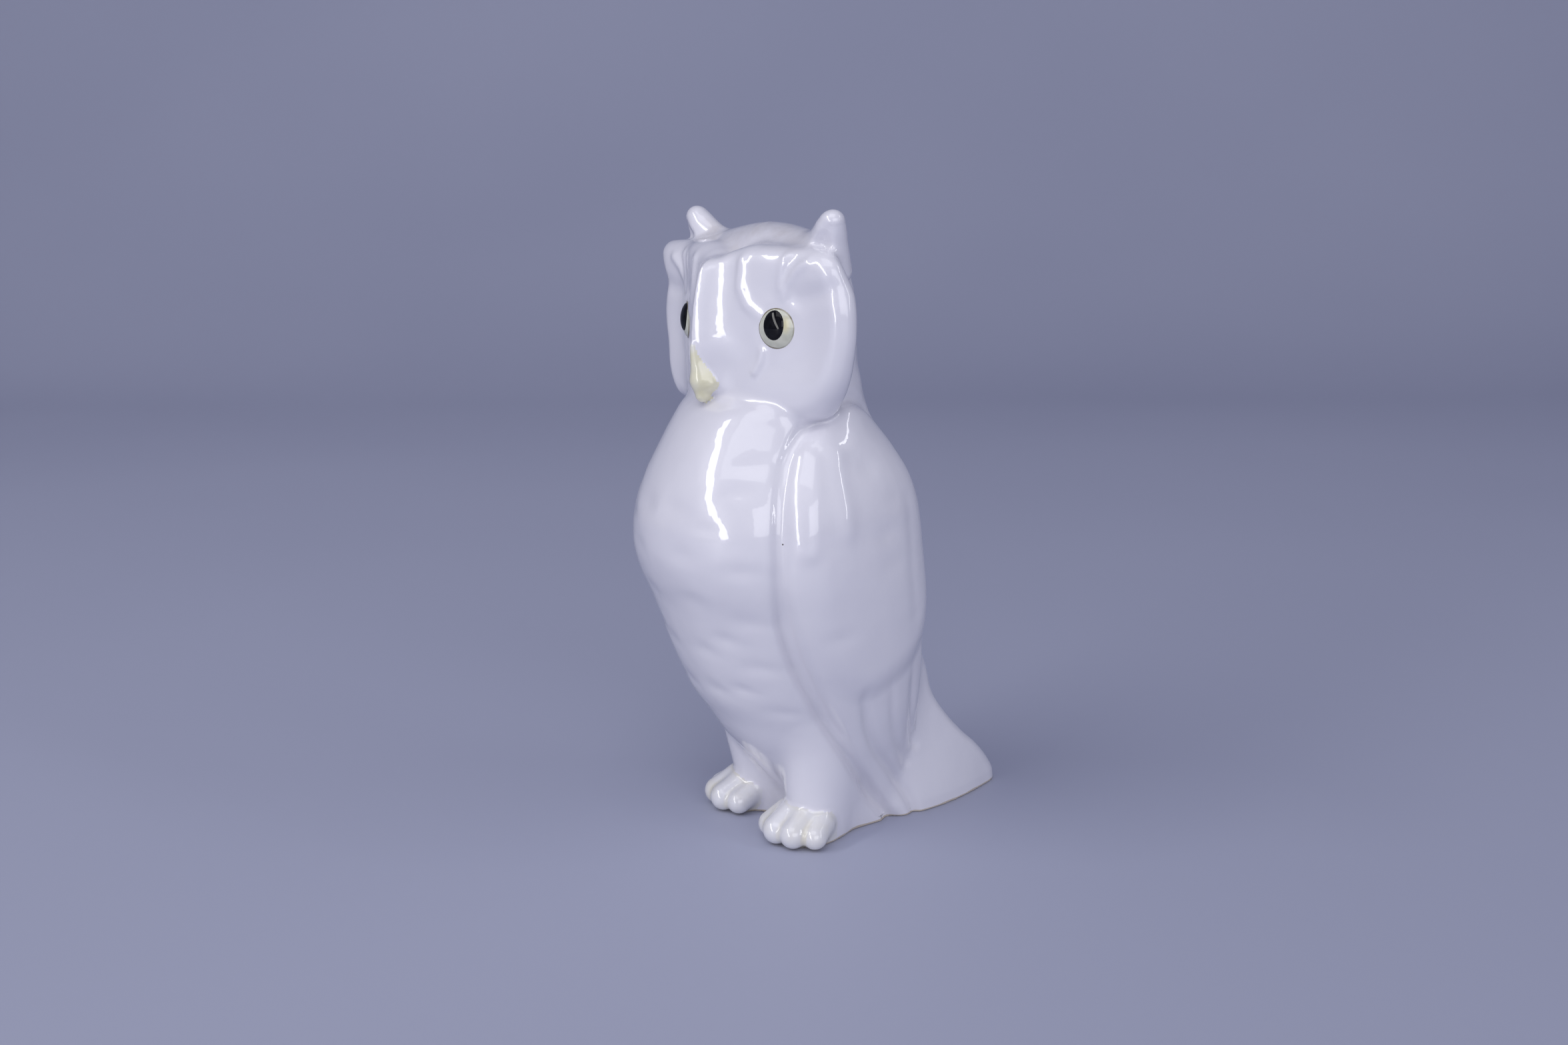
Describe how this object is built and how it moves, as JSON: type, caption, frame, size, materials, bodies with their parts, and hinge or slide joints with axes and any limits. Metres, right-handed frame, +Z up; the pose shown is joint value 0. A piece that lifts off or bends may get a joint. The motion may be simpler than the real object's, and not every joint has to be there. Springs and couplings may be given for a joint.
{
  "type": "owl figurine",
  "caption": "Glossy white glazed porcelain horned owl figurine with folded wings, painted eyes and a fan tail, standing free on its own flat base for display.",
  "frame": {"origin": "middle of the footprint's bounding box, on the table plane", "axes": "+Z up, -Y the way the owl looks, +X towards the owl's left wing"},
  "size_m": [0.046, 0.0668, 0.1],
  "materials": {
    "porcelain": "gloss",
    "toe_glaze": "gloss",
    "bill_glaze": "gloss",
    "iris_enamel": "gloss",
    "pupil_enamel": "gloss"
  },
  "bodies": {
    "root": {"torso": "porcelain", "head": "porcelain", "left_wing": "porcelain", "right_wing": "porcelain", "tail": "porcelain", "left_ear_tuft": "porcelain", "right_ear_tuft": "porcelain", "left_foot": "toe_glaze", "right_foot": "toe_glaze", "beak": "bill_glaze", "left_iris": "iris_enamel", "right_iris": "iris_enamel", "left_pupil": "pupil_enamel", "right_pupil": "pupil_enamel"}
  },
  "joints": []
}
